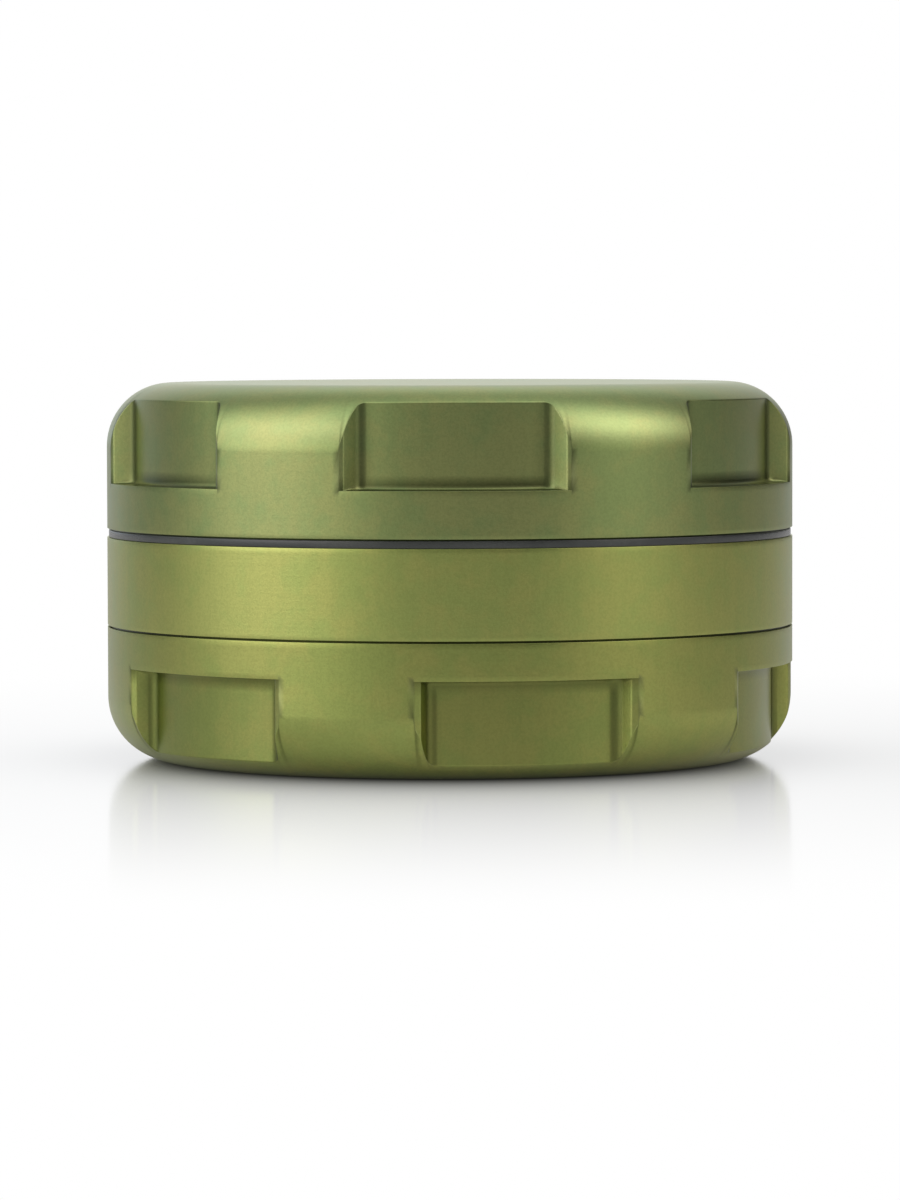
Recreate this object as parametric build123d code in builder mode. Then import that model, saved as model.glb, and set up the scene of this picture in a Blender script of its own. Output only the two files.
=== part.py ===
from build123d import *

import os
from math import cos, floor, pi, radians, sin, sqrt, tan

# Three-segment hand grinder: storage base, toothed chamber and free-turning lid.
# Millimetres. +Z is up and is the axis that everything turns about. The origin is the centre of
# the underside, where the grinder stands on a table. -Y is the front.

os.makedirs("parts", exist_ok=True)

# ---- Outer body ---------------------------------------------------------------------------------
body_radius = 31.5          # all three metal segments share one outside diameter
base_height = 12.2          # storage base, table to rim
chamber_height = 8.2        # plain middle ring
glide_thickness = 0.7       # black polymer ring between chamber and lid
lid_height = 13.4           # lid, rim to top
corner_radius = 5.8         # rounding under the base and over the lid
edge_break = 0.15           # small chamfer where two segments meet
glide_recess = 0.15         # how far the glide ring stands back from the outside

# ---- Grip notches -------------------------------------------------------------------------------
notch_count = 6
notch_depth = 1.95          # from the outside to the notch's concentric floor
notch_opening = 37.6        # degrees, at the outside
notch_wall_slope = 45.0     # degrees, wall against the notch's own tangent
notch_bevel_slope = 8.0     # degrees, lead-in facet against the same tangent
notch_fillet = 1.1          # wall into floor
lid_notch_bevel = 0.45      # width of the lead-in facet on the lid
base_notch_bevel = 0.7      # and on the base
lid_plain_band = 4.3        # full-round band under the lid's notches
base_plain_band = 3.3       # full-round band over the base's notches
lid_notch_angle = -90.0     # one lid notch faces the front
base_notch_angle = -78.0    # the base stands turned 12 degrees to the lid

# ---- Storage base -------------------------------------------------------------------------------
cup_wall = 4.9              # outside to cup
cup_floor = 2.4
cup_fillet = 4.0
skirt_wall = 2.8            # outside to the skirt's bore, which takes the threaded collar
thread_depth = 0.5
thread_pitch = 1.5
thread_root_width = 0.5
thread_crest_width = 0.5
thread_clearance = 0.1      # collar crests to skirt bore
collar_gap = 0.3            # collar top to the chamber's ledge

# ---- Seal ring in the collar's groove -----------------------------------------------------------
seal_section = 0.5          # radius of the cord
seal_clearance = 0.05

# ---- Chamber ------------------------------------------------------------------------------------
plate_thickness = 2.0       # both tooth plates
ledge_thickness = 1.4       # seat under the lower tooth plate
ledge_width = 1.3
plate_fit = 0.05
spigot_height = 3.0         # collar that centres the lid
spigot_wall = 1.2
rim_wall = 2.5              # lid wall outside the spigot
lid_fit = 0.08              # spigot to lid bore, radial
spigot_chamfer = 0.3

# ---- Lid ----------------------------------------------------------------------------------------
roof_thickness = 3.0
lid_wall = 4.1              # outside to cavity, so 2.15 behind a notch
counterbore_gap = 0.4       # over the spigot's end

# ---- Teeth and drop-through holes ---------------------------------------------------------------
tooth_width = 2.9           # across the tooth path
tooth_length = 4.6          # along the tooth path
tooth_path_gap = 0.8        # between the paths of lid teeth and chamber teeth
tooth_spacing = 12.5        # along a ring of teeth, at least
tooth_tip_gap = 1.2         # tooth tips to the other plate
tooth_wall_gap = 2.0        # outermost path to the spigot's inside
hole_land = 0.35            # hole edge to the next tooth path
hole_spacing = 5.6          # along a ring of holes, at least

# ---- Magnets ------------------------------------------------------------------------------------
boss_radius = 5.0
magnet_radius = 3.5
magnet_thickness = 2.5
magnet_fit = 0.05
magnet_gap = 0.4            # between the two magnets when the lid is on

# ---- Plate screws, countersunk M2 ---------------------------------------------------------------
screw_count = 3
screw_radius = 1.0
screw_head_radius = 1.9
screw_fit = 0.05
screw_hole_clearance = 0.2
screw_edge_land = 0.35      # head to the lower plate's rim
screw_bite = 2.2            # depth of the upper screws in the roof
socket_across_flats = 1.3
socket_depth = 0.8
lug_wall = 1.4              # ledge lug around a screw

# ---- Levels and radii that follow from these ----------------------------------------------------
chamber_top = base_height + chamber_height
lid_rim = chamber_top + glide_thickness
lid_top = lid_rim + lid_height
roof_underside = lid_top - roof_thickness
upper_plate_underside = roof_underside - plate_thickness
lower_plate_underside = chamber_top - plate_thickness
ledge_underside = lower_plate_underside - ledge_thickness
plate_gap = upper_plate_underside - chamber_top
tooth_height = plate_gap - tooth_tip_gap
boss_height = (plate_gap - magnet_gap) / 2

lid_bore_radius = body_radius - rim_wall
spigot_radius = lid_bore_radius - lid_fit
spigot_bore = spigot_radius - spigot_wall
lower_plate_radius = spigot_bore - plate_fit
ledge_bore = lower_plate_radius - ledge_width
lid_cavity_radius = body_radius - lid_wall
upper_plate_radius = lid_cavity_radius - plate_fit

cup_radius = body_radius - cup_wall
skirt_bore = body_radius - skirt_wall
thread_crest_radius = skirt_bore - thread_clearance
collar_top = ledge_underside - collar_gap
seal_outside = skirt_bore - seal_clearance
seal_centre_radius = seal_outside - seal_section
seal_groove_root = seal_centre_radius - seal_section - seal_clearance
seal_groove_top = base_height + 2 * (seal_section + seal_clearance)
thread_count = floor((collar_top - seal_groove_top) / thread_pitch)

tooth_ring_pitch = tooth_width + tooth_path_gap
outer_tooth_ring = spigot_bore - tooth_wall_gap - tooth_width / 2
inner_tooth_ring = boss_radius + tooth_path_gap + tooth_width / 2
ring_count = floor((outer_tooth_ring - inner_tooth_ring) / tooth_ring_pitch) + 1
tooth_rings = [outer_tooth_ring - index * tooth_ring_pitch for index in range(ring_count)]
lid_tooth_rings = tooth_rings[0::2]
chamber_tooth_rings = tooth_rings[1::2]
hole_radius = tooth_ring_pitch - tooth_width / 2 - hole_land
lower_screw_circle = lower_plate_radius - screw_edge_land - screw_head_radius
upper_screw_circle = chamber_tooth_rings[0]
screw_angle = -90.0         # the first screw of each plate faces the front


def sketch_corner(sketch, radius, height):
    """The vertex of a half section that stands nearest to this radius and height."""
    return sketch.vertices().sort_by_distance((radius, height, 0))[0]


def notch_outline(bevel_width):
    """Plan of one grip notch that opens along +X, as far as the body's outside and a little past."""
    half_opening = radians(notch_opening / 2)
    floor_radius = body_radius - notch_depth
    bevel = radians(notch_bevel_slope)
    wall = radians(notch_wall_slope)
    corner = Vector(body_radius * cos(half_opening), body_radius * sin(half_opening))
    reach = body_radius + notch_depth - corner.X
    outside = corner + Vector(reach, reach / tan(bevel))
    shoulder = corner - Vector(bevel_width * tan(bevel), bevel_width)
    inward = Vector(-sin(wall), -cos(wall))
    along = shoulder.dot(inward)
    travel = -along - sqrt(along**2 - shoulder.length**2 + floor_radius**2)
    foot = shoulder + inward * travel
    upper_side = [foot, shoulder, outside]
    lower_side = [Vector(point.X, -point.Y) for point in reversed(upper_side)]
    with BuildSketch() as outline:
        with BuildLine():
            Polyline(*upper_side, *lower_side)
            ThreePointArc(lower_side[-1], (floor_radius, 0), foot)
        make_face()
        fillet([sketch_corner(outline, foot.X, side * foot.Y) for side in (1, -1)], notch_fillet)
    return outline.sketch


def tooth_ring_angles(ring_radius):
    """Angles of the teeth on one ring, as many as their spacing allows."""
    count = floor(2 * pi * ring_radius / tooth_spacing)
    return [360 * index / count for index in range(count)]


def tooth_outline():
    """Plan of one diamond-shaped tooth, pointed along its path."""
    with BuildSketch() as outline:
        with BuildLine():
            Polyline(
                (tooth_width / 2, 0),
                (0, tooth_length / 2),
                (-tooth_width / 2, 0),
                (0, -tooth_length / 2),
                close=True,
            )
        make_face()
    return outline.sketch


def add_teeth(rings):
    """Place a tooth at every tooth position of the given rings, in the sketch being built."""
    for ring_radius in rings:
        for angle in tooth_ring_angles(ring_radius):
            with PolarLocations(ring_radius, 1, start_angle=angle):
                add(tooth)


def make_screws(head_level, length, circle_radius, pointing):
    """Countersunk socket screws on a circle; pointing is -1 when they are driven down, 1 when up."""
    head_height = screw_head_radius - screw_radius
    head_plane = Plane((0, 0, head_level), x_dir=(1, 0, 0), z_dir=(0, 0, pointing))
    screw_places = PolarLocations(circle_radius, screw_count, start_angle=pointing * screw_angle)
    with BuildPart() as screws:
        with BuildSketch(head_plane):
            with screw_places:
                Circle(screw_head_radius)
        extrude(amount=head_height, taper=45)
        with BuildSketch(head_plane):
            with screw_places:
                Circle(screw_radius)
        extrude(amount=length)
        with BuildSketch(head_plane):
            with screw_places:
                RegularPolygon(socket_across_flats / 2, 6, major_radius=False)
        extrude(amount=socket_depth, mode=Mode.SUBTRACT)
    return screws


def make_magnet(underside):
    """Disc magnet that stands on its pocket's floor."""
    with BuildPart() as magnet:
        with BuildSketch(Plane.XY.offset(underside)):
            Circle(magnet_radius)
        extrude(amount=magnet_thickness)
    return magnet


lid_notch = notch_outline(lid_notch_bevel)
base_notch = notch_outline(base_notch_bevel)
tooth = tooth_outline()

# ---- Storage base: cup, rounded foot, threaded collar and six grip notches ----------------------
with BuildPart() as base_cup:
    with BuildSketch(Plane.XZ) as section:
        with BuildLine():
            Polyline(
                (0, 0),
                (body_radius, 0),
                (body_radius, base_height - edge_break),
                (body_radius - edge_break, base_height),
                (seal_groove_root, base_height),
                (seal_groove_root, seal_groove_top),
                (thread_crest_radius, seal_groove_top),
                (thread_crest_radius, collar_top),
                (cup_radius, collar_top),
                (cup_radius, cup_floor),
                (0, cup_floor),
                close=True,
            )
        make_face()
        fillet(sketch_corner(section, body_radius, 0), corner_radius)
        fillet(sketch_corner(section, cup_radius, cup_floor), cup_fillet)
    revolve(axis=Axis.Z)
    with BuildSketch(Plane.XZ):
        for index in range(thread_count):
            root_middle = seal_groove_top + (index + 0.5) * thread_pitch
            mouth = (thread_pitch - thread_crest_width) / 2
            with BuildLine():
                Polyline(
                    (thread_crest_radius, root_middle - mouth),
                    (thread_crest_radius, root_middle + mouth),
                    (thread_crest_radius - thread_depth, root_middle + thread_root_width / 2),
                    (thread_crest_radius - thread_depth, root_middle - thread_root_width / 2),
                    close=True,
                )
            make_face()
    revolve(axis=Axis.Z, mode=Mode.SUBTRACT)
    with BuildSketch(Plane.XY.offset(base_height - base_plain_band)):
        with PolarLocations(0, notch_count, start_angle=base_notch_angle):
            add(base_notch)
    extrude(amount=-base_height, mode=Mode.SUBTRACT)

# ---- Seal ring at the foot of the collar --------------------------------------------------------
with BuildPart() as seal_ring:
    with BuildSketch(Plane.XZ):
        with Locations((seal_centre_radius, (base_height + seal_groove_top) / 2)):
            Circle(seal_section)
    revolve(axis=Axis.Z)

# ---- Chamber ring: threaded skirt, seat for the lower tooth plate, spigot for the lid -----------
with BuildPart() as chamber_ring:
    with BuildSketch(Plane.XZ):
        with BuildLine():
            Polyline(
                (skirt_bore, base_height),
                (body_radius - edge_break, base_height),
                (body_radius, base_height + edge_break),
                (body_radius, chamber_top - edge_break),
                (body_radius - edge_break, chamber_top),
                (spigot_radius, chamber_top),
                (spigot_radius, chamber_top + spigot_height - spigot_chamfer),
                (spigot_radius - spigot_chamfer, chamber_top + spigot_height),
                (spigot_bore, chamber_top + spigot_height),
                (spigot_bore, lower_plate_underside),
                (ledge_bore, lower_plate_underside),
                (ledge_bore, ledge_underside),
                (skirt_bore, ledge_underside),
                close=True,
            )
        make_face()
    revolve(axis=Axis.Z)
    with BuildSketch(Plane.XZ):
        for index in range(thread_count):
            crest_middle = seal_groove_top + index * thread_pitch + thread_pitch
            mouth = (thread_pitch - thread_crest_width) / 2
            with BuildLine():
                Polyline(
                    (skirt_bore, crest_middle - mouth),
                    (skirt_bore, crest_middle + mouth),
                    (skirt_bore + thread_depth, crest_middle + thread_root_width / 2),
                    (skirt_bore + thread_depth, crest_middle - thread_root_width / 2),
                    close=True,
                )
            make_face()
    revolve(axis=Axis.Z, mode=Mode.SUBTRACT)
    with BuildSketch(Plane.XY.offset(ledge_underside)):
        with PolarLocations(lower_screw_circle, screw_count, start_angle=screw_angle):
            Circle(screw_radius + lug_wall)
    extrude(amount=ledge_thickness)
    with BuildSketch(Plane.XY.offset(ledge_underside)):
        with PolarLocations(lower_screw_circle, screw_count, start_angle=screw_angle):
            Circle(screw_radius + screw_fit)
    extrude(amount=ledge_thickness, mode=Mode.SUBTRACT)

# ---- Lower tooth plate: teeth, magnet boss and drop-through holes -------------------------------
with BuildPart() as lower_tooth_plate:
    with BuildSketch(Plane.XY.offset(lower_plate_underside)):
        Circle(lower_plate_radius)
    extrude(amount=plate_thickness)
    with BuildSketch(Plane.XY.offset(chamber_top)):
        Circle(boss_radius)
    extrude(amount=boss_height)
    with BuildSketch(Plane.XY.offset(chamber_top)):
        add_teeth(chamber_tooth_rings)
    extrude(amount=tooth_height)
    with BuildSketch(Plane.XY.offset(chamber_top + boss_height - magnet_thickness)):
        Circle(magnet_radius + magnet_fit)
    extrude(amount=magnet_thickness, mode=Mode.SUBTRACT)
    with BuildSketch(Plane.XY.offset(lower_plate_underside)):
        for ring_radius in lid_tooth_rings:
            holes_per_screw = floor(2 * pi * ring_radius / hole_spacing / screw_count)
            hole_step = 360 / (holes_per_screw * screw_count)
            for index in range(holes_per_screw * screw_count):
                beside_screw = ring_radius == lid_tooth_rings[0] and index % holes_per_screw == 0
                if not beside_screw:
                    hole_angle = screw_angle + index * hole_step
                    with PolarLocations(ring_radius, 1, start_angle=hole_angle):
                        Circle(hole_radius)
    extrude(amount=plate_thickness, mode=Mode.SUBTRACT)
    with Locations(Plane.XY.offset(chamber_top)):
        with PolarLocations(lower_screw_circle, screw_count, start_angle=screw_angle):
            CounterSinkHole(
                screw_radius + screw_hole_clearance,
                screw_head_radius + screw_fit,
                plate_thickness,
                counter_sink_angle=90,
            )

# ---- Glide ring: black polymer washer that the lid turns on -------------------------------------
with BuildPart() as glide_ring:
    with BuildSketch(Plane.XY.offset(chamber_top)):
        Circle(body_radius - glide_recess)
        Circle(lid_bore_radius, mode=Mode.SUBTRACT)
    extrude(amount=glide_thickness)

# ---- Lid shell: rounded top, cavity, bore for the spigot and six grip notches -------------------
with BuildPart() as lid_shell:
    counterbore_top = chamber_top + spigot_height + counterbore_gap
    with BuildSketch(Plane.XZ) as section:
        with BuildLine():
            Polyline(
                (0, lid_top),
                (body_radius, lid_top),
                (body_radius, lid_rim + edge_break),
                (body_radius - edge_break, lid_rim),
                (lid_bore_radius, lid_rim),
                (lid_bore_radius, counterbore_top),
                (lid_cavity_radius, counterbore_top),
                (lid_cavity_radius, roof_underside),
                (0, roof_underside),
                close=True,
            )
        make_face()
        fillet(sketch_corner(section, body_radius, lid_top), corner_radius)
    revolve(axis=Axis.Z)
    with BuildSketch(Plane.XY.offset(lid_rim + lid_plain_band)):
        with PolarLocations(0, notch_count, start_angle=lid_notch_angle):
            add(lid_notch)
    extrude(amount=lid_height, mode=Mode.SUBTRACT)
    with BuildSketch(Plane.XY.offset(roof_underside)):
        with PolarLocations(upper_screw_circle, screw_count, start_angle=screw_angle):
            Circle(screw_radius + screw_fit)
    extrude(amount=screw_bite, mode=Mode.SUBTRACT)

# ---- Upper tooth plate: teeth and magnet boss, hanging from the lid's roof ----------------------
with BuildPart() as upper_tooth_plate:
    with BuildSketch(Plane.XY.offset(upper_plate_underside)):
        Circle(upper_plate_radius)
    extrude(amount=plate_thickness)
    with BuildSketch(Plane.XY.offset(upper_plate_underside)):
        Circle(boss_radius)
    extrude(amount=-boss_height)
    with BuildSketch(Plane.XY.offset(upper_plate_underside)):
        add_teeth(lid_tooth_rings)
    extrude(amount=-tooth_height)
    with BuildSketch(Plane.XY.offset(upper_plate_underside - boss_height)):
        Circle(magnet_radius + magnet_fit)
    extrude(amount=magnet_thickness, mode=Mode.SUBTRACT)
    with Locations(Plane((0, 0, upper_plate_underside), x_dir=(1, 0, 0), z_dir=(0, 0, -1))):
        with PolarLocations(upper_screw_circle, screw_count, start_angle=-screw_angle):
            CounterSinkHole(
                screw_radius + screw_hole_clearance,
                screw_head_radius + screw_fit,
                plate_thickness,
                counter_sink_angle=90,
            )

lower_screw_length = plate_thickness + ledge_thickness
upper_screw_length = plate_thickness + screw_bite

pieces = {
    "base_cup": base_cup,
    "seal_ring": seal_ring,
    "chamber_ring": chamber_ring,
    "lower_tooth_plate": lower_tooth_plate,
    "lower_plate_screws": make_screws(chamber_top, lower_screw_length, lower_screw_circle, -1),
    "lower_magnet": make_magnet(chamber_top + boss_height - magnet_thickness),
    "glide_ring": glide_ring,
    "lid_shell": lid_shell,
    "upper_tooth_plate": upper_tooth_plate,
    "upper_plate_screws": make_screws(upper_plate_underside, upper_screw_length, upper_screw_circle, 1),
    "upper_magnet": make_magnet(upper_plate_underside - boss_height),
}

for name, piece in pieces.items():
    piece.part.label = name
    export_step(piece.part, f"parts/{name}.step")
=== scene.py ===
from math import acos, atan2, ceil, cos, floor, hypot, pi, radians, sin, sqrt, tan

import bmesh
import bpy
from mathutils import Euler, Matrix, Vector


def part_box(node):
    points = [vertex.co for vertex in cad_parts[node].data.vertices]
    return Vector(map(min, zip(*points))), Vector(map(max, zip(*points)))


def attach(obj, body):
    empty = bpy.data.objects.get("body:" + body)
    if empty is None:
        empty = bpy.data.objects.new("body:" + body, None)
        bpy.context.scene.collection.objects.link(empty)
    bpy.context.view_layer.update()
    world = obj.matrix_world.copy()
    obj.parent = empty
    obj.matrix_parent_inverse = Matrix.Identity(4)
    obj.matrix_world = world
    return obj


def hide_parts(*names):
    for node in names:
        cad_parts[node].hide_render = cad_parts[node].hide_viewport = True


# Looks of a three-segment hand grinder in olive anodised aluminium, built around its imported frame.
# Metres. +Z is up and is the axis that everything turns about. -Y is the front.

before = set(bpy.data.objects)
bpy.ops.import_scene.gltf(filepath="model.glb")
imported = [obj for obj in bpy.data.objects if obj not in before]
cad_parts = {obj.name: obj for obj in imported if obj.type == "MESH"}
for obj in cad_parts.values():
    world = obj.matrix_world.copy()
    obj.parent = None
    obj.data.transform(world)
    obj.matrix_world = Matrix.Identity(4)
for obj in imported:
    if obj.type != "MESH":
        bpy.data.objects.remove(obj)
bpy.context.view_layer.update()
mm = 0.001


def bottom(node):
    """Lowest level of a CAD node."""
    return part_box(node)[0].z


def top(node):
    """Highest level of a CAD node."""
    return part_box(node)[1].z


def reach(node):
    """Outside radius of a CAD node that stands on the axis."""
    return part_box(node)[1].x


# ---- Levels and radii that the frame gives ------------------------------------------------------
body_radius = reach("lid_shell")
base_rim = bottom("chamber_ring")
chamber_top = bottom("glide_ring")
lid_rim = bottom("lid_shell")
lid_top = top("lid_shell")
spigot_top = top("chamber_ring")
collar_top = top("base_cup")
roof_underside = top("upper_tooth_plate")
lower_plate_underside = bottom("lower_tooth_plate")
lower_plate_radius = reach("lower_tooth_plate")
upper_plate_radius = reach("upper_tooth_plate")
seal_outside = reach("seal_ring")
magnet_radius = reach("lower_magnet")

# ---- Outer shape --------------------------------------------------------------------------------
corner_radius = 5.8 * mm        # rounding over the lid and under the base
notch_count = 6
notch_depth = 1.95 * mm
notch_opening = radians(37.6)
lid_notch_slope = radians(44)   # of a notch's side wall, from the tangent
base_notch_slope = radians(53)
notch_bevel_slope = radians(8)
notch_fillet = 1.1 * mm
bevel_guard = 0.7               # place of a row on the notch's bevel that keeps its shading apart
notch_corner = 0.5 * mm         # from the notch's shelf into its floor
notch_guard = 1.3 * mm          # a row this far from the shelf ends the corner's painted shade
seam_depth = 0.35 * mm          # the fine grooves that show between the segments
lid_seam = 0.13 * mm
ring_seam = 0.2 * mm
lid_notch_bevel = 0.45 * mm
base_notch_bevel = 0.7 * mm
lid_plain_band = 4.3 * mm
base_plain_band = 3.3 * mm
lid_notch_angle = radians(-90)
base_notch_angle = radians(-78)

# ---- Inner shape --------------------------------------------------------------------------------
cup_wall = 4.9 * mm
cup_floor = 2.4 * mm
cup_fillet = 4.0 * mm
seal_clearance = 0.05 * mm
thread_clearance = 0.1 * mm
thread_depth = 0.5 * mm
thread_pitch = 1.5 * mm
thread_form = ((0, 0), (1 / 6, 1), (1 / 2, 1), (2 / 3, 0))  # shares of the pitch and of the depth
thread_run_out = 0.7 * mm       # a thread fades into the plain metal over this height
thread_end_gap = 0.3 * mm
lead_in = 0.25 * mm             # bevel where a thread's mouth begins
plate_thickness = 2.0 * mm
plate_fit = 0.05 * mm
ledge_thickness = 1.4 * mm
ledge_width = 1.3 * mm
rim_wall = 2.5 * mm
lid_fit = 0.08 * mm
counterbore_gap = 0.4 * mm
lug_wall = 1.4 * mm
spigot_edge = 0.4 * mm
roof_fillet = 0.3 * mm

# ---- Teeth, holes, boss and screws --------------------------------------------------------------
tooth_width = 2.9 * mm
tooth_length = 4.6 * mm
tooth_edge = 0.22 * mm
foot_curve = 0.3                # middle of the curve at a tooth's foot, as a share of the edge's size
tooth_side_corner = 0.25 * mm
tooth_end_corner = 0.35 * mm
tooth_path_gap = 0.8 * mm
tooth_spacing = 12.5 * mm
tooth_wall_gap = 2.0 * mm
hole_land = 0.35 * mm
hole_spacing = 5.6 * mm
boss_radius = 5.0 * mm
magnet_fit = 0.05 * mm
magnet_edge = 0.25 * mm
screw_count = 3
screw_angle = radians(-90)
screw_radius = 1.0 * mm
screw_head_radius = 1.9 * mm
screw_gap = 0.06 * mm
socket_across_flats = 1.3 * mm
socket_depth = 0.8 * mm
socket_cone = 0.15 * mm
socket_edge = 0.06 * mm
head_edge = 0.08 * mm
neck_edge = 0.1 * mm
tip_edge = 0.2 * mm

# ---- How finely round shapes are cut ------------------------------------------------------------
soft_edge = 0.12 * mm           # tumbled edges of the notches' sides and the bosses
fine_edge = 0.1 * mm            # inner edges
crisp_edge = 0.03 * mm          # edges of the seams and shelves
guard = 0.5 * mm                # a row this far from an outer edge keeps its shading out of the flat
corner_steps = 4
rib_steps = 22
floor_steps = 20
wall_steps = 4
dome_steps = 24
ring_steps = 240
small_ring_steps = 36
straight_enough = radians(171)  # a corner that is wider open than this is left alone
corner_room = 0.45              # most of a neighbouring side that a rounded corner may take
weld_distance = 0.0002 * mm
sharp_angle = radians(38)
rubbed_angle = radians(14)      # between neighbouring facets of a rounded outside edge
recess_angle = radians(8)       # between neighbouring facets of a hollow corner that gets the full painted shade
least_recess = radians(3)       # a hollow this slight gets no painted shade
upright = 0.3                   # rise of an edge that hands rub, as a share of its length
same_radius = 0.002 * mm
# Painted shade: how much darker the colour is painted on notch floors, shelves, seams and hollow corners.
lid_floor_painted_shade = 0.03          # painted shade on a notch's floor, from 0 to 1 at the bottom of a seam
base_floor_painted_shade = 0.22
shelf_painted_shade = 0.6
corner_painted_shade = 0.56
shade_reach = 0.6 * mm          # a corner's painted shade spreads over edges shorter than this
shade_steps = 3
shade_kept = 0.55               # share of it that is left after each of these steps

# ---- What follows from these --------------------------------------------------------------------
lid_shelf = lid_rim + lid_plain_band
base_shelf = base_rim - base_plain_band
notch_floor = body_radius - notch_depth
seam_root = body_radius - seam_depth
lid_bore = body_radius - rim_wall
spigot_radius = lid_bore - lid_fit
spigot_bore = lower_plate_radius + plate_fit
ledge_bore = lower_plate_radius - ledge_width
ledge_underside = lower_plate_underside - ledge_thickness
lid_cavity = upper_plate_radius + plate_fit
counterbore_top = spigot_top + counterbore_gap
cup_radius = body_radius - cup_wall
skirt_bore = seal_outside + seal_clearance
thread_crest = skirt_bore - thread_clearance
seal_radius = (top("seal_ring") - bottom("seal_ring")) / 2
seal_centre = seal_outside - seal_radius
seal_groove_root = seal_centre - seal_radius - seal_clearance
seal_groove_top = base_rim + 2 * (seal_radius + seal_clearance)
upper_plate_underside = roof_underside - plate_thickness
lower_screw_circle = -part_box("lower_plate_screws")[0].y - screw_head_radius
upper_screw_circle = -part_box("upper_plate_screws")[0].y - screw_head_radius
tooth_ring_pitch = tooth_width + tooth_path_gap
outer_tooth_ring = spigot_bore - tooth_wall_gap - tooth_width / 2
inner_tooth_ring = boss_radius + tooth_path_gap + tooth_width / 2
ring_count = floor((outer_tooth_ring - inner_tooth_ring) / tooth_ring_pitch) + 1
tooth_rings = [outer_tooth_ring - index * tooth_ring_pitch for index in range(ring_count)]
hole_radius = tooth_ring_pitch - tooth_width / 2 - hole_land


# ==== Mesh tools =================================================================================


def polar(radius, angle):
    """Point of a plan from its radius and angle."""
    return Vector((radius * cos(angle), radius * sin(angle)))


def curved(start, corner, end, steps):
    """Points of the curve from start to end that a corner pulls outward."""
    points = []
    for step in range(steps + 1):
        share = step / steps
        points.append((1 - share) ** 2 * start + 2 * share * (1 - share) * corner + share ** 2 * end)
    return points


def soft_corner(before, corner, after, reach_out):
    """Points that round one corner of a path; they fall together where there is no room for it."""
    back = before - corner
    ahead = after - corner
    room = min(reach_out, corner_room * back.length, corner_room * ahead.length)
    if room > 0 and back.angle(ahead) > straight_enough:
        room = 0
    start = corner + back.normalized() * room
    end = corner + ahead.normalized() * room
    return curved(start, corner, end, corner_steps)


def soften(corners, closed=False):
    """Path through (x, y, softness) corners, with the soft ones rounded."""
    places = [Vector(corner[:2]) for corner in corners]
    path = []
    for index, corner in enumerate(corners):
        softness = corner[2]
        at_end = not closed and index in (0, len(corners) - 1)
        if softness == 0 or at_end:
            path.append(places[index])
        else:
            after = places[(index + 1) % len(places)]
            path += soft_corner(places[index - 1], places[index], after, softness)
    return path


def skin(mesh, columns, closed=False, centre=(0, 0)):
    """Skin a surface over paths of (radius, height) that stand at a row of angles round a centre."""
    rows = []
    for angle, path in columns:
        row = []
        for radius, height in path:
            place = (centre[0] + radius * cos(angle), centre[1] + radius * sin(angle), height)
            row.append(mesh.verts.new(place))
        rows.append(row)
    for here, there in zip(rows, rows[1:]):
        pairs = list(zip(range(len(here) - 1), range(1, len(here))))
        if closed:
            pairs.append((len(here) - 1, 0))
        for first, second in pairs:
            mesh.faces.new((here[first], there[first], there[second], here[second]))


def round_angles(steps):
    """Angles all the way round, the last a full turn on from the first."""
    return [2 * pi * index / steps for index in range(steps + 1)]


def turned(mesh, path, closed=False, steps=ring_steps):
    """Skin the same path all the way round."""
    skin(mesh, [(angle, path) for angle in round_angles(steps)], closed)


def stacked(mesh, loops):
    """Walls between plan loops that stand over each other; gives the first and last loop's vertices."""
    rows = [[mesh.verts.new(point) for point in loop] for loop in loops]
    for below, above in zip(rows, rows[1:]):
        count = len(below)
        for index in range(count):
            after = (index + 1) % count
            mesh.faces.new((below[index], below[after], above[after], above[index]))
    return rows[0], rows[-1]


def rim_edges(mesh, row):
    """Edges of a closed row of vertices, made where they are missing."""
    edges = []
    for index, vertex in enumerate(row):
        after = row[(index + 1) % len(row)]
        edge = mesh.edges.get((vertex, after))
        edges.append(edge or mesh.edges.new((vertex, after)))
    return edges


def fill_between(mesh, rows, facing):
    """Flat face bounded by closed rows of vertices, with the inner ones left open."""
    edges = [edge for row in rows for edge in rim_edges(mesh, row)]
    bmesh.ops.triangle_fill(mesh, use_beauty=True, edges=edges, normal=(0, 0, facing))


def painted_shade_at(place):
    """How much painted shade a notch's floor, a notch's shelf or the root of a seam gets, and 0 elsewhere."""
    radius = place.xy.length
    shelf_gap = min(abs(place.z - lid_shelf), abs(place.z - base_shelf))
    if shelf_gap < same_radius and notch_floor < radius < body_radius - crisp_edge / 2:
        return shelf_painted_shade
    if abs(radius - seam_root) < same_radius:
        return 1
    if abs(radius - notch_floor) < same_radius:
        return base_floor_painted_shade if place.z < base_rim else lid_floor_painted_shade
    return 0


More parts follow.
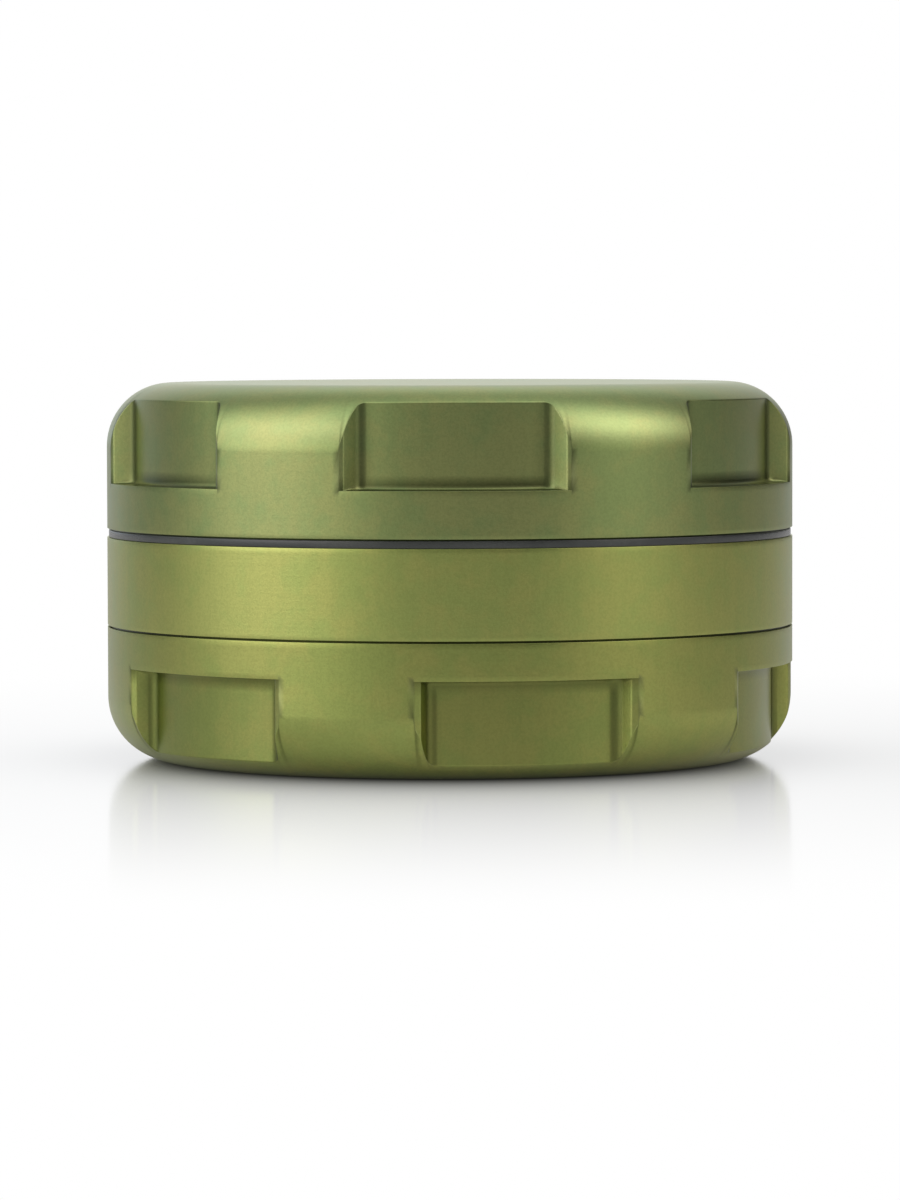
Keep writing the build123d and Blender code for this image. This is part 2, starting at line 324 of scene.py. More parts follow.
def mark_wear_and_painted_shade(mesh):
    """Give vertices a rubbed value, on upright rounded edges, and a painted shade value, in hollow places."""
    for name in ("rubbed", "painted_shade"):
        mesh.verts.layers.float.new(name)
    rubbed = mesh.verts.layers.float["rubbed"]
    painted_shade = mesh.verts.layers.float["painted_shade"]
    for vertex in mesh.verts:
        vertex[painted_shade] = painted_shade_at(vertex.co)
    short_edges = []
    for edge in mesh.edges:
        if len(edge.link_faces) != 2:
            continue
        turn = edge.calc_face_angle_signed()
        first, second = edge.verts
        length = edge.calc_length()
        if length < shade_reach:
            short_edges += [(first, second), (second, first)]
        rise = abs(first.co.z - second.co.z) / length
        hollow = min(1, (-turn - least_recess) / (recess_angle - least_recess))
        for vertex in edge.verts:
            if rubbed_angle < turn < sharp_angle and rise > upright:
                vertex[rubbed] = 1
            vertex[painted_shade] = max(vertex[painted_shade], corner_painted_shade * hollow)
    # The painted shade spreads a little way out of each hollow corner, over short edges.
    for step in range(shade_steps):
        before = {vertex: vertex[painted_shade] for vertex in mesh.verts}
        for here, there in short_edges:
            if here.co.xy.length < seam_root and before[there] <= corner_painted_shade:
                here[painted_shade] = max(here[painted_shade], shade_kept * before[there])


def make_piece(name, mesh, body, material):
    """Turn a finished mesh into a piece that stands for the CAD node of that name."""
    bmesh.ops.remove_doubles(mesh, verts=mesh.verts, dist=weld_distance)
    bmesh.ops.dissolve_degenerate(mesh, dist=weld_distance, edges=mesh.edges)
    loose = [vertex for vertex in mesh.verts if not vertex.link_faces]
    bmesh.ops.delete(mesh, geom=loose, context="VERTS")
    bmesh.ops.recalc_face_normals(mesh, faces=mesh.faces)
    mark_wear_and_painted_shade(mesh)
    data = bpy.data.meshes.new(name + "_finish")
    mesh.to_mesh(data)
    mesh.free()
    data.shade_smooth()
    data.set_sharp_from_angle(angle=sharp_angle)
    data.materials.append(material)
    piece = bpy.data.objects.new(name + "_finish", data)
    bpy.context.scene.collection.objects.link(piece)
    even = piece.modifiers.new("even_normals", "WEIGHTED_NORMAL")
    even.keep_sharp = True
    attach(piece, body)
    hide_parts(name)


# ==== Materials ==================================================================================

speckle_shade = 0.62            # brightness of the darkest speckles, as a share of the plain finish's
darkest_painted_shade = 0.1                # and of the painted shade at its darkest, at the bottom of a seam
blasted_relief = 0.006 * mm     # heights of the surfaces' bump
polished_relief = 0.002 * mm
moulded_relief = 0.006 * mm


def add_node(tree, kind, inputs=None, **settings):
    """A shader node with its settings and inputs; an input is a value or another node's socket."""
    node = tree.nodes.new("ShaderNode" + kind)
    for key, value in settings.items():
        setattr(node, key, value)
    for key, value in (inputs or {}).items():
        if isinstance(value, bpy.types.NodeSocket):
            tree.links.new(value, node.inputs[key])
        else:
            node.inputs[key].default_value = value
    return node


def math_node(tree, operation, *values):
    """Result of a math node on values or sockets."""
    return add_node(tree, "Math", dict(enumerate(values)), operation=operation).outputs[0]


def noise(tree, place, scale, detail=2.0, roughness=0.5):
    """Noise from 0 to 1 at a place; scale is how many features it has in a metre."""
    inputs = {"Vector": place, "Scale": scale, "Detail": detail, "Roughness": roughness}
    return add_node(tree, "TexNoise", inputs).outputs[0]


def stretched(tree, place, scale):
    """A place with its axes scaled, so that noise there is drawn out along the small ones."""
    return add_node(tree, "Mapping", {"Vector": place, "Scale": scale}).outputs[0]


def remap(tree, value, low, high, new_low, new_high):
    """Value from one range to another, held inside it."""
    inputs = {"Value": value, 1: low, 2: high, 3: new_low, 4: new_high}
    return add_node(tree, "MapRange", inputs, interpolation_type="SMOOTHSTEP").outputs[0]


def blend_colour(tree, share, first, second):
    """Colour between two others."""
    node = add_node(tree, "Mix", {0: share}, data_type="RGBA")
    for socket, value in ((node.inputs[6], first), (node.inputs[7], second)):
        if isinstance(value, bpy.types.NodeSocket):
            tree.links.new(value, socket)
        else:
            socket.default_value = (*value, 1)
    return node.outputs[2]


def fading(tree, distance, reach_out):
    """Share that falls from 1 towards 0 with distance."""
    return math_node(tree, "EXPONENT", math_node(tree, "DIVIDE", distance, -reach_out))


def new_material(name):
    """Empty node material, with the place on the piece and the place along a turned surface."""
    material = bpy.data.materials.new(name)
    material.use_nodes = True
    tree = material.node_tree
    tree.nodes.clear()
    place = add_node(tree, "TexCoord").outputs["Object"]
    parts = add_node(tree, "SeparateXYZ", {0: place}).outputs
    flat = add_node(tree, "CombineXYZ", {"X": parts["X"], "Y": parts["Y"]}).outputs[0]
    radius = add_node(tree, "VectorMath", {0: flat}, operation="LENGTH").outputs["Value"]
    along = add_node(tree, "CombineXYZ", {"X": radius, "Y": parts["Z"]}).outputs[0]
    return material, tree, place, along


def surface(tree, colour, roughness, height, bump_distance, **constants):
    """Principled shader with a bump, joined to the material's output."""
    bump = add_node(tree, "Bump", {"Height": height, "Strength": 1.0, "Distance": bump_distance})
    inputs = {"Base Color": colour, "Roughness": roughness, "Normal": bump.outputs[0]}
    inputs.update({key.replace("_", " "): value for key, value in constants.items()})
    shader = add_node(tree, "BsdfPrincipled", inputs)
    add_node(tree, "OutputMaterial", {"Surface": shader.outputs[0]})


def anodised(name, shade, warm_shade, worn_shade, roughness, turning):
    """Bead-blasted, dyed and sealed aluminium; turning is how much the tool marks still show."""
    material, tree, place, along = new_material(name)
    clouds = noise(tree, place, 330, 4, 0.65)
    drift = noise(tree, place, 60, 2)
    grain = noise(tree, place, 4200, 3, 0.7)
    blast = noise(tree, place, 7000, 2, 0.6)
    marks = noise(tree, stretched(tree, along, (2600, 2600, 1)), 1, 3, 0.6)
    streaks = noise(tree, stretched(tree, place, (1100, 1100, 60)), 1, 3, 0.65)

    dye = math_node(tree, "MULTIPLY_ADD", clouds, 0.6, math_node(tree, "MULTIPLY", drift, 0.4))
    colour = blend_colour(tree, remap(tree, dye, 0.40, 0.60, 0, 1), shade, warm_shade)
    darker = tuple(speckle_shade * part for part in shade)
    speckle = math_node(tree, "MULTIPLY_ADD", grain, 0.8, math_node(tree, "MULTIPLY", streaks, 0.2))
    colour = blend_colour(tree, remap(tree, speckle, 0.38, 0.60, 0.24, 0), colour, darker)
    rubbed = add_node(tree, "Attribute", attribute_name="rubbed").outputs["Fac"]
    rubbed = math_node(tree, "MULTIPLY", rubbed, remap(tree, clouds, 0.35, 0.62, 0.05, 0.3))
    colour = blend_colour(tree, rubbed, colour, worn_shade)
    # Painted shade: hollow corners, seam grooves, shelves and notch floors are darkened in the colour.
    painted_shade = add_node(tree, "Attribute", attribute_name="painted_shade").outputs["Fac"]
    painted_shade_colour = tuple(darkest_painted_shade * part for part in shade)
    colour = blend_colour(tree, painted_shade, colour, painted_shade_colour)

    gloss = math_node(tree, "MULTIPLY_ADD", clouds, 0.06, roughness - 0.05)
    gloss = math_node(tree, "MULTIPLY_ADD", grain, 0.04, gloss)
    height = math_node(tree, "MULTIPLY_ADD", marks, turning, blast)
    surface(tree, colour, gloss, height, blasted_relief, Metallic=1.0)
    return material


def metal(name, shade, worn_shade, roughness):
    """Plain bright metal with fine tool marks."""
    material, tree, place, along = new_material(name)
    marks = noise(tree, stretched(tree, along, (5200, 5200, 1)), 1, 3, 0.6)
    clouds = noise(tree, place, 700, 3)
    scratches = noise(tree, stretched(tree, place, (300, 6000, 300)), 1, 2)
    colour = blend_colour(tree, remap(tree, clouds, 0.35, 0.65, 0, 1), shade, worn_shade)
    gloss = math_node(tree, "MULTIPLY_ADD", clouds, 0.14, roughness - 0.07)
    height = math_node(tree, "MULTIPLY_ADD", scratches, 0.5, marks)
    surface(tree, colour, gloss, height, polished_relief, Metallic=1.0)
    return material


def polymer(name, shade, dusty_shade, roughness, grain_scale):
    """Dark moulded or turned plastic or rubber, with a little dust on it."""
    material, tree, place, along = new_material(name)
    grain = noise(tree, place, grain_scale, 3, 0.6)
    marks = noise(tree, stretched(tree, along, (6000, 6000, 1)), 1, 2)
    clouds = noise(tree, place, 160, 4, 0.6)
    dust = math_node(tree, "MULTIPLY", remap(tree, clouds, 0.4, 0.75, 0, 0.6), grain)
    colour = blend_colour(tree, dust, shade, dusty_shade)
    gloss = math_node(tree, "MULTIPLY_ADD", clouds, 0.12, roughness - 0.06)
    height = math_node(tree, "MULTIPLY_ADD", marks, 0.6, grain)
    surface(tree, colour, gloss, height, moulded_relief, Specular_IOR_Level=0.5)
    return material


worn_olive = (0.50, 0.55, 0.27)
lid_finish = anodised("lid_olive", (0.272, 0.340, 0.131), (0.324, 0.352, 0.135), worn_olive, 0.31, 0.4)
ring_finish = anodised("ring_olive", (0.366, 0.428, 0.130), (0.420, 0.437, 0.135), worn_olive, 0.30, 0.6)
base_finish = anodised("base_olive", (0.310, 0.362, 0.106), (0.360, 0.373, 0.112), worn_olive, 0.30, 0.5)
plate_finish = anodised("plate_olive", (0.350, 0.405, 0.125), (0.380, 0.415, 0.130), worn_olive, 0.30, 1.6)
glide_finish = polymer("black_acetal", (0.040, 0.044, 0.042), (0.10, 0.105, 0.10), 0.24, 2600)
seal_finish = polymer("black_nitrile", (0.012, 0.012, 0.013), (0.04, 0.04, 0.04), 0.55, 3600)
screw_finish = metal("stainless_screw", (0.52, 0.52, 0.53), (0.62, 0.61, 0.60), 0.28)
magnet_finish = metal("nickel_plate", (0.66, 0.63, 0.58), (0.72, 0.70, 0.66), 0.2)


# ==== Lid and base: turned bodies with grip notches ==============================================


def notch_side(bevel_width, wall_slope):
    """(angle, radius) along one half of a grip notch, from its middle to its corner on the outside."""
    corner = polar(body_radius, notch_opening / 2)
    shoulder = corner - Vector((bevel_width * tan(notch_bevel_slope), bevel_width))
    inward = Vector((-sin(wall_slope), -cos(wall_slope)))
    along = shoulder.dot(inward)
    to_floor = -along - sqrt(along ** 2 - shoulder.length_squared + notch_floor ** 2)
    foot = shoulder + inward * to_floor
    foot_angle = atan2(foot.y, foot.x)
    fillet_reach = notch_fillet * tan((wall_slope + foot_angle) / 2)
    fillet_angle = foot_angle - fillet_reach / notch_floor
    points = [polar(notch_floor, fillet_angle * step / floor_steps) for step in range(floor_steps)]
    fillet_end = foot - inward * fillet_reach
    points += curved(polar(notch_floor, fillet_angle), foot, fillet_end, 2 * corner_steps)
    points += [fillet_end.lerp(shoulder, step / wall_steps) for step in range(1, wall_steps)]
    points += soft_corner(fillet_end, shoulder, corner, soft_edge)
    points += [shoulder.lerp(corner, bevel_guard), corner]
    return [(atan2(point.y, point.x), min(point.length, body_radius)) for point in points]


def grip_columns(middle, bevel_width, wall_slope):
    """(angle, radius) of the gripped outside all the way round, the last standing over the first."""
    side = notch_side(bevel_width, wall_slope)
    sector = 2 * pi / notch_count
    rib = sector - notch_opening
    columns = []
    for index in range(notch_count):
        centre = middle + index * sector
        columns += [(centre - angle, radius) for angle, radius in reversed(side)]
        columns += [(centre + angle, radius) for angle, radius in side[1:]]
        edge = centre + notch_opening / 2
        columns += [(edge + rib * step / rib_steps, body_radius) for step in range(1, rib_steps)]
    columns.append((columns[0][0] + 2 * pi, columns[0][1]))
    return columns


def dome(grip, level, up):
    """Corners from the grip's edge round to the flat face at a level; up is 1 over the lid, -1 below."""
    start = acos(min(1, (grip - body_radius + corner_radius) / corner_radius))
    corners = []
    for step in range(dome_steps + 1):
        slope = start + (pi / 2 - start) * step / dome_steps
        radius = body_radius - corner_radius + corner_radius * cos(slope)
        height = level - up * corner_radius * (1 - sin(slope))
        corners.append((radius, height, fine_edge if step == 0 else 0))
    return corners


def lid_path(grip):
    """Half section of the lid, from the roof over the cavity to the middle of the top."""
    return soften([
        (0, roof_underside, 0),
        (lid_cavity, roof_underside, roof_fillet),
        (lid_cavity, counterbore_top, fine_edge),
        (lid_bore, counterbore_top, fine_edge),
        (lid_bore, lid_rim, fine_edge),
        (seam_root, lid_rim, 0),
        (seam_root, lid_rim + lid_seam, 0),
        (body_radius, lid_rim + lid_seam, crisp_edge),
        (body_radius, lid_rim + guard, 0),
        (body_radius, lid_shelf - guard, 0),
        (body_radius, lid_shelf, crisp_edge),
        (grip, lid_shelf, notch_corner),
        (grip, lid_shelf + notch_guard, 0),
        *dome(grip, lid_top, 1),
        (0, lid_top, 0),
    ])


def thread(angle, low, high, radius, depth):
    """Right-hand thread as it stands at one angle, from its upper end down to its lower end."""
    turns = angle / (2 * pi)
    spare_turns = 2
    first = floor(low / thread_pitch) - spare_turns
    last = ceil(high / thread_pitch) + spare_turns
    points = []
    for index in range(first, last):
        for share, cut in thread_form:
            height = min(max((index + turns + share) * thread_pitch, low), high)
            to_end = min(height - low, high - height)
            fade = min(1, to_end / thread_run_out)
            points.append((radius + depth * cut * fade, height, 0))
    return points[::-1]


def base_path(grip, angle):
    """Half section of the base, from the middle of the cup to the middle of the underside."""
    cup_turn = []
    for step in range(dome_steps + 1):
        slope = pi / 2 * step / dome_steps
        radius = cup_radius - cup_fillet * (1 - sin(slope))
        cup_turn.append((radius, cup_floor + cup_fillet * (1 - cos(slope)), 0))
    return soften([
        (0, cup_floor, 0),
        *cup_turn,
        (cup_radius, collar_top, fine_edge),
        (thread_crest, collar_top, lead_in),
        *thread(angle, seal_groove_top + fine_edge, collar_top - thread_end_gap, thread_crest, -thread_depth),
        (thread_crest, seal_groove_top, fine_edge / 2),
        (seal_groove_root, seal_groove_top, fine_edge / 2),
        (seal_groove_root, base_rim, fine_edge / 2),
        (body_radius, base_rim, crisp_edge),
        (body_radius, base_rim - guard, 0),
        (body_radius, base_shelf + guard, 0),
        (body_radius, base_shelf, crisp_edge),
        (grip, base_shelf, notch_corner),
        (grip, base_shelf - notch_guard, 0),
        *dome(grip, 0, -1),
        (0, 0, 0),
    ])


def build_lid():
    mesh = bmesh.new()
    columns = grip_columns(lid_notch_angle, lid_notch_bevel, lid_notch_slope)
    skin(mesh, [(angle, lid_path(grip)) for angle, grip in columns])
    make_piece("lid_shell", mesh, "lid", lid_finish)


def build_base():
    mesh = bmesh.new()
    columns = grip_columns(base_notch_angle, base_notch_bevel, base_notch_slope)
    skin(mesh, [(angle, base_path(grip, angle)) for angle, grip in columns])
    make_piece("base_cup", mesh, "base", base_finish)


# ==== Chamber ring, glide ring and seal ==========================================================


def ledge_edge(angle):
    """Inner radius of the ledge, which reaches further in at the three screw lugs."""
    lug_radius = screw_radius + lug_wall
    turn = 2 * pi / screw_count
    offset = (angle - screw_angle + turn / 2) % turn - turn / 2
    across = lower_screw_circle * sin(offset)
    if abs(across) >= lug_radius:
        return ledge_bore
    return min(ledge_bore, lower_screw_circle * cos(offset) - sqrt(lug_radius ** 2 - across ** 2))


def chamber_path(angle):
    """Closed half section of the chamber ring."""
    ledge = ledge_edge(angle)
    thread_low, thread_high = base_rim + thread_end_gap, ledge_underside - thread_end_gap
    return soften([
        (seam_root, base_rim, 0),
        (seam_root, base_rim + ring_seam, 0),
        (body_radius, base_rim + ring_seam, crisp_edge),
        (body_radius, base_rim + guard, 0),
        (body_radius, chamber_top - guard, 0),
        (body_radius, chamber_top, crisp_edge),
        (spigot_radius, chamber_top, fine_edge),
        (spigot_radius, spigot_top, spigot_edge),
        (spigot_bore, spigot_top, fine_edge),
        (spigot_bore, lower_plate_underside, fine_edge / 2),
        (ledge, lower_plate_underside, fine_edge),
        (ledge, ledge_underside, fine_edge),
        (skirt_bore, ledge_underside, fine_edge),
        *thread(angle, thread_low, thread_high, skirt_bore, thread_depth),
        (skirt_bore, base_rim, lead_in),
    ], closed=True)


def build_chamber_ring():
    mesh = bmesh.new()
    skin(mesh, [(angle, chamber_path(angle)) for angle in round_angles(ring_steps)], closed=True)
    make_piece("chamber_ring", mesh, "chamber", ring_finish)


def build_glide_ring():
    mesh = bmesh.new()
    outside = reach("glide_ring")
    path = soften([
        (outside, chamber_top, fine_edge),
        (outside, lid_rim, fine_edge),
        (lid_bore, lid_rim, fine_edge),
        (lid_bore, chamber_top, fine_edge),
    ], closed=True)
    turned(mesh, path, closed=True)
    make_piece("glide_ring", mesh, "glide", glide_finish)


def build_seal_ring():
    mesh = bmesh.new()
    level = base_rim + seal_radius
    cord = []
    for step in range(small_ring_steps):
        turn = 2 * pi * step / small_ring_steps
        cord.append((seal_centre + seal_radius * cos(turn), level + seal_radius * sin(turn)))
    turned(mesh, cord, closed=True)
    make_piece("seal_ring", mesh, "seal", seal_finish)


# ==== Tooth plates ===============================================================================


def circle_loop(radius, height, centre=(0, 0), steps=small_ring_steps):
    """Points of a level circle."""
    points = []
    for step in range(steps):
        turn = 2 * pi * step / steps
        points.append((centre[0] + radius * cos(turn), centre[1] + radius * sin(turn), height))
    return points


def tooth_loops(centre, angle, foot, tip):
    """Level loops of one diamond-shaped tooth from its foot to its tip."""
    half_width = tooth_width / 2
    half_length = tooth_length / 2
    outline = soften([
        (half_width, 0, tooth_side_corner),
        (0, half_length, tooth_end_corner),
        (-half_width, 0, tooth_side_corner),
        (0, -half_length, tooth_end_corner),
    ], closed=True)
    inner_radius = half_width * half_length / hypot(half_width, half_length)
    rise = 1 if tip > foot else -1
    levels = [
        (-tooth_edge, foot),
        (-foot_curve * tooth_edge, foot + foot_curve * rise * tooth_edge),
        (0, foot + rise * tooth_edge),
    ]
    for step in range(corner_steps + 1):
        slope = pi / 2 * step / corner_steps
        levels.append((tooth_edge * (1 - cos(slope)), tip - rise * tooth_edge * (1 - sin(slope))))
    loops = []
    for inset, height in levels:
        scale = 1 - inset / inner_radius
        loop = []
        for point in outline:
            x = point.x * scale
            y = point.y * scale
            turned_x = x * cos(angle) - y * sin(angle)
            turned_y = x * sin(angle) + y * cos(angle)
            loop.append((centre.x + turned_x, centre.y + turned_y, height))
        loops.append(loop)
    return loops


def add_teeth(mesh, rings, foot, tip):
    """Teeth on the given rings; gives the rows of vertices at their feet."""
    feet = []
    for ring in rings:
        count = floor(2 * pi * ring / tooth_spacing)
        for index in range(count):
            angle = 2 * pi * index / count
            first, last = stacked(mesh, tooth_loops(polar(ring, angle), angle, foot, tip))
            mesh.faces.new(last)
            feet.append(first)
    return feet


def add_boss(mesh, foot, rim, pocket_floor):
    """Magnet boss with its open pocket; gives the row of vertices at its foot."""
    rise = 1 if rim > foot else -1
    pocket = magnet_radius + magnet_fit
    section = soften([
        (boss_radius + fine_edge, foot, 0),
        (boss_radius, foot + rise * fine_edge, 0),
        (boss_radius, rim, soft_edge),
        (pocket, rim, fine_edge),
        (pocket, pocket_floor, 0),
    ])
    steps = 2 * small_ring_steps
    first, last = stacked(mesh, [circle_loop(radius, height, steps=steps) for radius, height in section])
    mesh.faces.new(last)
    return first


def add_edge(mesh, radius, low, high, side, centre=(0, 0), steps=small_ring_steps):
    """Rounded wall of a disc (side 1) or of a hole (side -1); gives its lower and upper rows."""
    beside = radius - side * 4 * fine_edge
    section = soften([
        (beside, low, 0),
        (radius, low, fine_edge),
        (radius, high, fine_edge),
        (beside, high, 0),
    ])
    return stacked(mesh, [circle_loop(r, z, centre, steps) for r, z in section[1:-1]])


def hole_places(ring, beside_screws):
    """Centres of one ring of drop-through holes; the outer ring leaves room for the screws."""
    per_screw = floor(2 * pi * ring / hole_spacing / screw_count)
    places = []
    for index in range(per_screw * screw_count):
        if not (beside_screws and index % per_screw == 0):
            places.append(polar(ring, screw_angle + 2 * pi * index / (per_screw * screw_count)))
    return places


def screw_places(circle):
    """Centres of a plate's screws."""
    return [polar(circle, screw_angle + 2 * pi * index / screw_count) for index in range(screw_count)]


def build_lower_plate():
    mesh = bmesh.new()
    low, high = lower_plate_underside, chamber_top
    rows = [add_edge(mesh, lower_plate_radius, low, high, 1, steps=ring_steps)]
    for ring in tooth_rings[0::2]:
        for place in hole_places(ring, ring == tooth_rings[0]):
            rows.append(add_edge(mesh, hole_radius, low, high, -1, place))
    for place in screw_places(lower_screw_circle):
        rows.append(add_edge(mesh, screw_head_radius + screw_gap, low, high, -1, place))
    feet = add_teeth(mesh, tooth_rings[1::2], high, top("lower_tooth_plate"))
    feet.append(add_boss(mesh, high, top("lower_magnet"), bottom("lower_magnet")))
    fill_between(mesh, [row[0] for row in rows], -1)
    fill_between(mesh, [row[1] for row in rows] + feet, 1)
    make_piece("lower_tooth_plate", mesh, "chamber", plate_finish)


def build_upper_plate():
    mesh = bmesh.new()
    low, high = upper_plate_underside, roof_underside
    rows = [add_edge(mesh, upper_plate_radius, low, high, 1, steps=ring_steps)]
    for place in screw_places(upper_screw_circle):
        rows.append(add_edge(mesh, screw_head_radius + screw_gap, low, high, -1, place))
    feet = add_teeth(mesh, tooth_rings[0::2], low, bottom("upper_tooth_plate"))
    feet.append(add_boss(mesh, low, bottom("upper_magnet"), top("upper_magnet")))
    fill_between(mesh, [row[0] for row in rows] + feet, -1)
    fill_between(mesh, [row[1] for row in rows], 1)
    make_piece("upper_tooth_plate", mesh, "lid", plate_finish)


# ==== Screws and magnets =========================================================================


def screw_path(angle, head, tip):
    """Half section of a countersunk screw with a hexagon socket, from the socket's floor to the tip."""
    up = 1 if head > tip else -1
    side = pi / 3
    offset = angle % side - side / 2
    socket = socket_across_flats / 2 / cos(offset)
    neck = head - up * (screw_head_radius - screw_radius)
    return soften([
        (0, head - up * (socket_depth + socket_cone), 0),
        (socket, head - up * socket_depth, 0),
        (socket, head, socket_edge),
        (screw_head_radius, head, head_edge),
        (screw_radius, neck, neck_edge),
        (screw_radius, tip, tip_edge),
        (0, tip, 0),
    ])


def build_screws(name, body, circle, head):
    mesh = bmesh.new()
    tip = bottom(name) if body == "chamber" else top(name)
    columns = [(angle, screw_path(angle, head, tip)) for angle in round_angles(small_ring_steps)]
    for place in screw_places(circle):
        skin(mesh, columns, centre=place)
    make_piece(name, mesh, body, screw_finish)


def build_magnet(name, body):
    mesh = bmesh.new()
    low, high = bottom(name), top(name)
    path = soften([
        (0, low, 0),
        (magnet_radius, low, magnet_edge),
        (magnet_radius, high, magnet_edge),
        (0, high, 0),
    ])
    turned(mesh, path, steps=2 * small_ring_steps)
    make_piece(name, mesh, body, magnet_finish)


build_base()
build_seal_ring()
build_chamber_ring()
build_lower_plate()
build_screws("lower_plate_screws", "chamber", lower_screw_circle, chamber_top)
build_magnet("lower_magnet", "chamber")
build_glide_ring()
build_lid()
build_upper_plate()
build_screws("upper_plate_screws", "lid", upper_screw_circle, upper_plate_underside)
build_magnet("upper_magnet", "lid")


# ==== Floor, light and camera ====================================================================

floor_half = 3.0                # metres
contact_radius = body_radius - corner_radius
mirror_reach = 108 * mm         # the floor's reflection has faded out this far from the foot
mirror_blur = 0.12              # roughness of the table's gloss
foot_mirror = 0.62              # how much of the reflection shows only near the foot
foot_mirror_reach = 12 * mm
table_mirror = 0.34             # how much of it reaches further
painted_contact_shadow = 5 * mm          # how far the painted shadow round the foot fades
table_grey = (0.54, 0.54, 0.53, 1)
foot_spill = 0.34               # painted glow on the table near the foot, that lights the grinder's underside
spill_start = 12 * mm
spill_reach = 40 * mm
plain_white = (1, 1, 1, 1)


def build_floor():
    """White glossy table; only the camera sees it white, so the grinder's underside stays in shade."""
    mesh = bmesh.new()
    corners = [(-1, -1), (1, -1), (1, 1), (-1, 1)]
    mesh.faces.new([mesh.verts.new((x * floor_half, y * floor_half, 0)) for x, y in corners])
    data = bpy.data.meshes.new("floor")
    mesh.to_mesh(data)
    mesh.free()
    material, tree, place, along = new_material("white_table")
    radius = add_node(tree, "SeparateXYZ", {0: along}).outputs["X"]
    away = math_node(tree, "SUBTRACT", radius, contact_radius)
    near = fading(tree, away, foot_mirror_reach)
    far = remap(tree, math_node(tree, "DIVIDE", away, mirror_reach), 0.0, 1.0, table_mirror, 0.0)
    gloss = math_node(tree, "MULTIPLY_ADD", near, foot_mirror, far)
    mirror = add_node(tree, "BsdfGlossy", {"Roughness": mirror_blur}).outputs[0]
    # The table's white is painted darker close to the foot, as a painted contact shadow.
    glow = math_node(tree, "SUBTRACT", 1.0, fading(tree, away, painted_contact_shadow))
    white = add_node(tree, "Emission", {"Color": plain_white, "Strength": glow}).outputs[0]
    seen = add_node(tree, "MixShader", {0: gloss, 1: white, 2: mirror}).outputs[0]
    diffuse = add_node(tree, "BsdfDiffuse", {"Color": table_grey}).outputs[0]
    # The table glows a little near the foot: a painted glow, seen only by rays that are not the camera's.
    rising = math_node(tree, "SUBTRACT", 1.0, fading(tree, away, spill_start))
    spill = math_node(tree, "MULTIPLY", fading(tree, away, spill_reach), rising)
    spill = math_node(tree, "MULTIPLY", spill, foot_spill)
    bounce = add_node(tree, "Emission", {"Color": plain_white, "Strength": spill}).outputs[0]
    lit = add_node(tree, "AddShader", {0: diffuse, 1: bounce}).outputs[0]
    to_camera = add_node(tree, "LightPath").outputs["Is Camera Ray"]
    shown = add_node(tree, "MixShader", {0: to_camera, 1: lit, 2: seen}).outputs[0]
    add_node(tree, "OutputMaterial", {"Surface": shown})
    data.materials.append(material)
    table = bpy.data.objects.new("floor", data)
    bpy.context.scene.collection.objects.link(table)


# Soft lights round the grinder: degrees right of the front, degrees up, spread and colour.
# The spread is how far the light's edge fades, as 1 - cos of the angle from its middle.
room_light = (0.005, 0.005, 0.005)
soft_lights = {
    "left_box": (-77, 0, 0.05, (1.19, 1.38, 1.30)),
    "left_panel": (-60, 0, 0.05, (1.47, 1.28, 1.40)),
    "left_near": (-42, 0, 0.05, (0.98, 1.05, 0.83)),
    "left_wing": (-100, 32, 0.06, (1.12, 1.21, 1.16)),
    "left_upper": (-72, 32, 0.06, (1.53, 1.28, 1.46)),
    "left_key": (-48, 34, 0.06, (1.38, 1.28, 1.34)),
    "left_over": (-60, 64, 0.10, (1.12, 1.20, 1.20)),
    "front": (0, 20, 0.05, (0.34, 0.34, 0.30)),
    "right_low": (58, 0, 0.05, (0.84, 0.87, 0.70)),
    "right_box": (70, 36, 0.06, (2.98, 2.68, 2.80)),
    "right_over": (60, 64, 0.10, (1.30, 1.35, 1.38)),
    "back_left": (-150, 0, 0.05, (0.60, 0.67, 0.78)),
    "back_right": (150, 25, 0.06, (0.06, 0.06, 0.06)),
    "backdrop": (180, 40, 0.12, (1.10, 1.11, 1.11)),
    "horizon": (180, 2, 0.03, (0.90, 0.90, 0.90)),
}


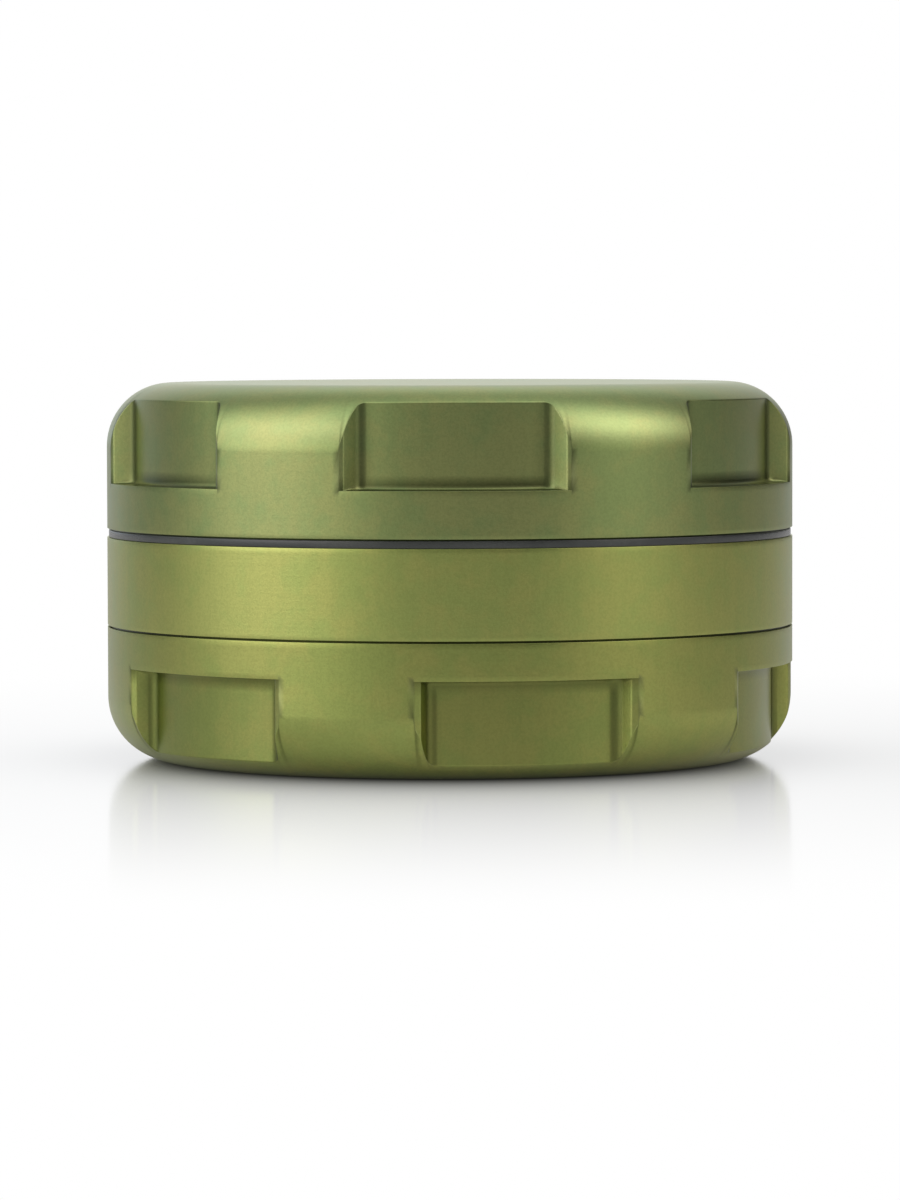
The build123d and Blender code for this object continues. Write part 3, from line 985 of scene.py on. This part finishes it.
def build_studio():
    """White room for the camera, and soft lights for the grinder."""
    world = bpy.data.worlds.new("studio")
    world.use_nodes = True
    tree = world.node_tree
    tree.nodes.clear()
    direction = add_node(tree, "TexCoord").outputs["Generated"]
    light = add_node(tree, "CombineXYZ", dict(enumerate(room_light))).outputs[0]
    for azimuth, elevation, spread, colour in soft_lights.values():
        side, lift = radians(azimuth), radians(elevation)
        towards = (sin(side) * cos(lift), -cos(side) * cos(lift), sin(lift))
        aim = add_node(tree, "VectorMath", {0: direction, 1: towards}, operation="DOT_PRODUCT")
        falloff = fading(tree, math_node(tree, "SUBTRACT", 1.0, aim.outputs["Value"]), spread)
        glow = add_node(tree, "VectorMath", {0: colour, "Scale": falloff}, operation="SCALE").outputs[0]
        light = add_node(tree, "VectorMath", {0: light, 1: glow}, operation="ADD").outputs[0]
    to_camera = add_node(tree, "LightPath").outputs["Is Camera Ray"]
    colour = add_node(tree, "Mix", {0: to_camera, 7: plain_white}, data_type="RGBA")
    tree.links.new(light, colour.inputs[6])
    background = add_node(tree, "Background", {"Color": colour.outputs[2], "Strength": 1.0}).outputs[0]
    add_node(tree, "OutputWorld", {"Surface": background})
    bpy.context.scene.world = world


camera_distance = 15.9 * body_radius
camera_height = 40 * mm
camera_turn = radians(0.95)     # the camera stands a little left of the front notch's middle
camera_pitch = radians(2.926)
camera_roll = radians(0.14)
lens = 163.17                   # focal length and film width in millimetres, as Blender takes them
film_width = 36


def build_camera():
    data = bpy.data.cameras.new("camera")
    data.lens = lens
    data.sensor_width = film_width
    data.clip_start = 0.01
    camera = bpy.data.objects.new("camera", data)
    bpy.context.scene.collection.objects.link(camera)
    x = -camera_distance * sin(camera_turn)
    y = -camera_distance * cos(camera_turn)
    camera.location = (x, y, camera_height)
    aim = Euler((pi / 2 - camera_pitch, 0, -camera_turn)).to_matrix()
    camera.rotation_euler = (aim @ Matrix.Rotation(-camera_roll, 3, "Z")).to_euler()
    bpy.context.scene.camera = camera


build_floor()
build_studio()
build_camera()
bpy.context.scene.view_settings.view_transform = "Standard"
